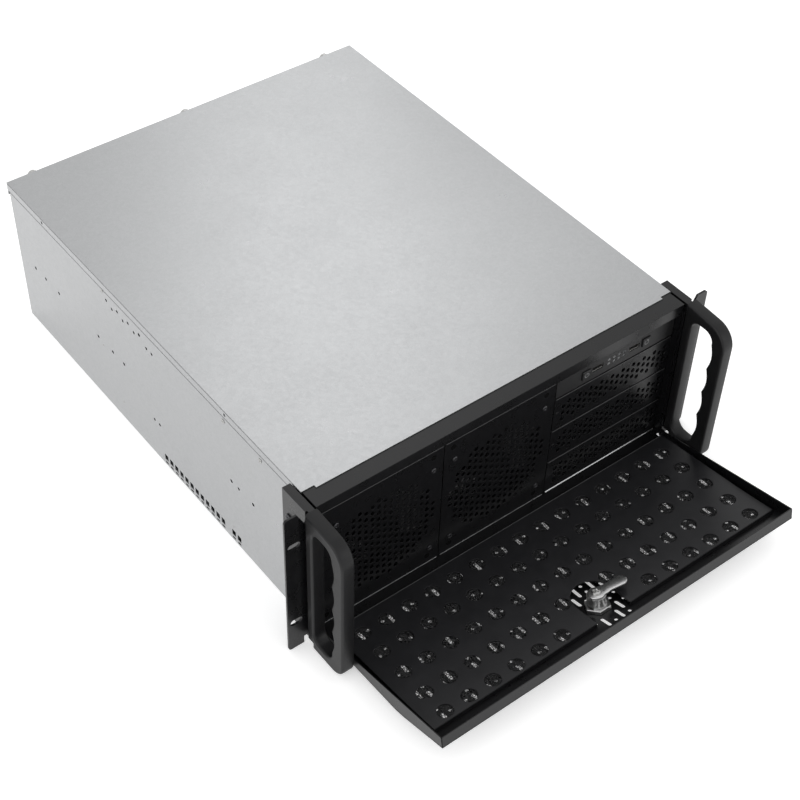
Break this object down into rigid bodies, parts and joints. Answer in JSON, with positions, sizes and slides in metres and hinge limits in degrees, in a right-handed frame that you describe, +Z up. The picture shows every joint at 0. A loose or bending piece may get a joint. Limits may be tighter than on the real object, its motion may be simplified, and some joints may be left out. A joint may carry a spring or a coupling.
{
  "type": "4u_server_chassis",
  "caption": "Short 4U rackmount case with a fold-down perforated front door, cam lock, front fans, drive bays, rack ears and handles",
  "frame": {"origin": "underside of the case, middle of its width, at the cover's front edge", "axes": "X across the case to the viewer's right from the front, Y from front to back, Z up"},
  "size_m": [0.4826, 0.7081, 0.1748],
  "materials": {
    "galvanised_steel": "satin",
    "black_painted_steel": "satin",
    "handle_black": "satin",
    "black_plastic": "matte",
    "board_green": "satin",
    "socket_steel": "satin",
    "clear_plastic": "polished",
    "brass": "satin",
    "filter_foam": "matte",
    "screw_steel": "satin",
    "lock_nickel": "polished"
  },
  "bodies": {
    "chassis": {"chassis_tray": "galvanised_steel", "top_cover": "galvanised_steel", "rear_panel": "galvanised_steel", "bay_cage": "galvanised_steel", "drive_cage_left": "galvanised_steel", "drive_cage_centre": "galvanised_steel", "cross_brace": "galvanised_steel", "slot_blank_1": "galvanised_steel", "slot_blank_2": "galvanised_steel", "slot_blank_3": "galvanised_steel", "slot_blank_4": "galvanised_steel", "slot_blank_5": "galvanised_steel", "slot_blank_6": "galvanised_steel", "slot_blank_7": "galvanised_steel", "front_frame": "black_painted_steel", "fan_panel_left": "black_painted_steel", "fan_panel_centre": "black_painted_steel", "bay_cover_bottom": "black_painted_steel", "bay_cover_middle": "black_painted_steel", "bay_cover_top": "black_painted_steel", "rack_ear_left": "black_painted_steel", "rack_ear_right": "black_painted_steel", "ear_spacer_left": "black_painted_steel", "ear_spacer_right": "black_painted_steel", "handle_left": "handle_black", "handle_right": "handle_black", "fan_frame_left": "black_plastic", "fan_frame_centre": "black_plastic", "control_strip": "black_plastic", "switches": "black_plastic", "control_board": "board_green", "usb_socket_1": "socket_steel", "usb_socket_2": "socket_steel", "light_guide": "clear_plastic", "standoffs": "brass", "fan_screws": "screw_steel", "handle_bolts": "screw_steel", "ear_screws": "screw_steel", "cover_screws": "screw_steel", "hinge_pins": "screw_steel"},
    "door": {"door_skin": "black_painted_steel", "door_plate": "black_painted_steel", "dust_filter": "filter_foam", "lock_barrel": "lock_nickel", "lock_nut": "lock_nickel"},
    "lock": {"lock_plug": "lock_nickel", "lock_lever": "lock_nickel", "lever_screw": "screw_steel"},
    "power_button": {"power_button": "black_plastic"},
    "reset_button": {"reset_button": "black_plastic"},
    "fan_rotor_left": {"fan_rotor_left": "black_plastic"},
    "fan_rotor_centre": {"fan_rotor_centre": "black_plastic"}
  },
  "joints": [
    {"name": "door_hinge", "type": "hinge", "parent": "chassis", "child": "door", "pos_m": [0, -0.02536, 0.00365], "axis": [-1, 0, 0], "range_deg": [0, 78.2]},
    {"name": "lock_turn", "type": "hinge", "parent": "door", "child": "lock", "pos_m": [-0.001, -0.15617, 0.02076], "axis": [0, -0.3041, -0.9526], "range_deg": [0, 85]},
    {"name": "power_button_press", "type": "slide", "parent": "chassis", "child": "power_button", "axis": [0, 1, 0], "range_m": [0, 0.0015], "stiffness_N_per_m": 400},
    {"name": "reset_button_press", "type": "slide", "parent": "chassis", "child": "reset_button", "axis": [0, 1, 0], "range_m": [0, 0.0015], "stiffness_N_per_m": 400},
    {"name": "fan_left_spin", "type": "hinge", "parent": "chassis", "child": "fan_rotor_left", "pos_m": [-0.1328, 0, 0.074], "axis": [0, 1, 0], "continuous": true},
    {"name": "fan_centre_spin", "type": "hinge", "parent": "chassis", "child": "fan_rotor_centre", "pos_m": [-0.004, 0, 0.074], "axis": [0, 1, 0], "continuous": true}
  ]
}
